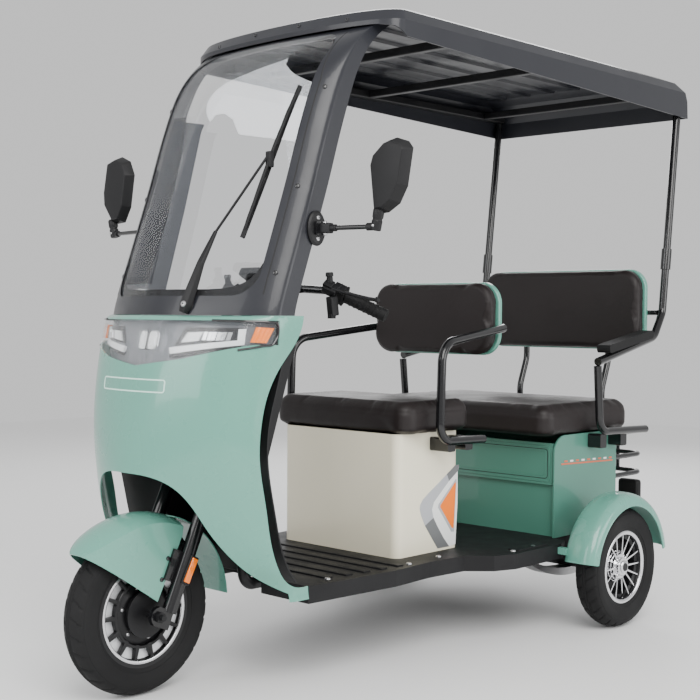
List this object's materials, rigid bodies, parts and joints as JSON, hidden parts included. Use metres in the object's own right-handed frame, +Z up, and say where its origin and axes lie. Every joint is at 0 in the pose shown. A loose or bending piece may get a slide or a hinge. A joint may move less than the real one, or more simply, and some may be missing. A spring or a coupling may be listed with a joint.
{
  "type": "covered electric tricycle",
  "caption": "Covered electric passenger tricycle with a steered front wheel, green nose shell, windscreen, canopy roof, driver's seat with arms and a rear bench.",
  "frame": {"origin": "on the ground under the middle of the overall length, on the symmetry plane", "axes": "+X forward, +Y to the rider's left, +Z up"},
  "size_m": [2.2333, 1.207, 1.7599],
  "materials": {
    "black_paint": "gloss",
    "black_plastic": "satin",
    "black_wheel": "satin",
    "canopy_plastic": "satin",
    "clear_lens": "clear",
    "cream_plastic": "satin",
    "dark_green_plastic": "gloss",
    "frame_paint": "satin",
    "green_plastic": "gloss",
    "red_lens": "gloss",
    "rubber": "matte",
    "screen_glass": "clear",
    "seat_leather": "satin",
    "steel": "satin",
    "tyre_rubber": "matte",
    "wheel_metal": "polished"
  },
  "bodies": {
    "chassis": {"battery_pack": "black_plastic", "chassis_frame": "frame_paint", "floor_board": "black_plastic", "front_arms": "black_paint", "front_backrest_pad": "seat_leather", "front_backrest_shell": "green_plastic", "front_seat_box": "cream_plastic", "headlamp_housing": "black_plastic", "headlamp_lens": "clear_lens", "inner_leg_shield": "black_plastic", "mirror_shells": "black_plastic", "mirror_stems": "black_paint", "nose_cowl": "green_plastic", "rear_armrest_pads": "rubber", "rear_arms": "black_paint", "rear_axle": "frame_paint", "rear_backrest_frame": "black_paint", "rear_backrest_pad": "seat_leather", "rear_backrest_shell": "green_plastic", "rear_box_back": "dark_green_plastic", "rear_box_front": "dark_green_plastic", "rear_box_sides": "green_plastic", "rear_fenders": "green_plastic", "rear_posts": "black_paint", "rear_rack": "black_paint", "rear_springs": "steel", "roof_rails": "frame_paint", "roof_shell": "canopy_plastic", "tail_lamps": "red_lens", "windscreen_frame": "canopy_plastic", "windscreen_glass": "screen_glass", "wiper": "black_plastic"},
    "steering": {"front_axle": "steel", "front_fender": "green_plastic", "front_fork": "black_paint", "handlebar": "black_paint", "handlebar_grips": "rubber"},
    "front_seat_lid": {"front_seat_cushion": "seat_leather"},
    "front_wheel_set": {"front_tyre": "tyre_rubber", "front_wheel": "black_wheel"},
    "rear_seat_lid": {"rear_seat_cushion": "seat_leather"},
    "rear_left_wheel_set": {"rear_tyre_left": "tyre_rubber", "rear_wheel_left": "wheel_metal"},
    "rear_right_wheel_set": {"rear_tyre_right": "tyre_rubber", "rear_wheel_right": "wheel_metal"},
    "storage_door_panel": {"storage_door": "dark_green_plastic"}
  },
  "joints": [
    {"name": "steering", "type": "hinge", "parent": "chassis", "child": "steering", "pos_m": [0.88284, 0, 0.1953], "axis": [-0.4067, 0, 0.9135], "range_deg": [-35, 35]},
    {"name": "front_wheel_spin", "type": "hinge", "parent": "steering", "child": "front_wheel_set", "pos_m": [0.91025, 0, 0.2075], "axis": [0, 1, 0], "continuous": true},
    {"name": "rear_left_wheel_spin", "type": "hinge", "parent": "chassis", "child": "rear_left_wheel_set", "pos_m": [-0.55175, 0.485, 0.185], "axis": [0, 1, 0], "continuous": true},
    {"name": "rear_right_wheel_spin", "type": "hinge", "parent": "chassis", "child": "rear_right_wheel_set", "pos_m": [-0.55175, -0.485, 0.185], "axis": [0, 1, 0], "continuous": true},
    {"name": "front_seat_hinge", "type": "hinge", "parent": "chassis", "child": "front_seat_lid", "pos_m": [0.20125, 0, 0.614], "axis": [0, 1, 0], "range_deg": [0, 50]},
    {"name": "rear_seat_hinge", "type": "hinge", "parent": "chassis", "child": "rear_seat_lid", "pos_m": [-0.34375, 0, 0.5793], "axis": [0, 1, 0], "range_deg": [0, 50]},
    {"name": "storage_door_hinge", "type": "hinge", "parent": "chassis", "child": "storage_door_panel", "pos_m": [-0.42575, 0, 0.561], "axis": [0, -1, 0], "range_deg": [0, 70]}
  ]
}
